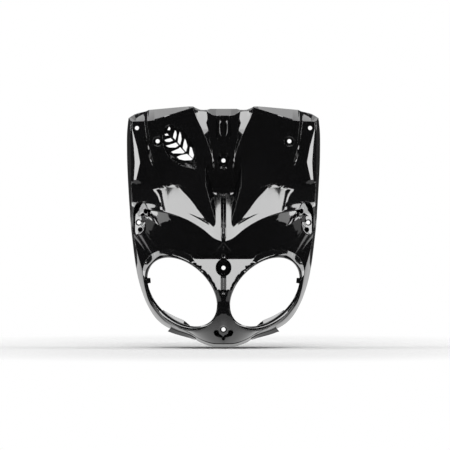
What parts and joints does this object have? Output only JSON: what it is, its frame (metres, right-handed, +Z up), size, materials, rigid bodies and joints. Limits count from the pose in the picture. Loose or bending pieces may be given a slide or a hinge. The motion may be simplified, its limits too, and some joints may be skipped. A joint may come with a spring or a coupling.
{
  "type": "motorcycle headlight mask",
  "caption": "Glossy moulded front mask for a motorcycle, with oval lamp openings, a pocketed vent, screw dishes and a sharp keeled brow.",
  "frame": {"origin": "middle of the wall of the upper centre screw hole", "axes": "+Z up as the mask is fitted, -Y out of its front, +X to the right as seen from the front"},
  "size_m": [0.3324, 0.1673, 0.4097],
  "materials": {
    "gloss_black_moulding": "gloss"
  },
  "bodies": {
    "root": {"headlight_mask": "gloss_black_moulding"}
  },
  "joints": []
}
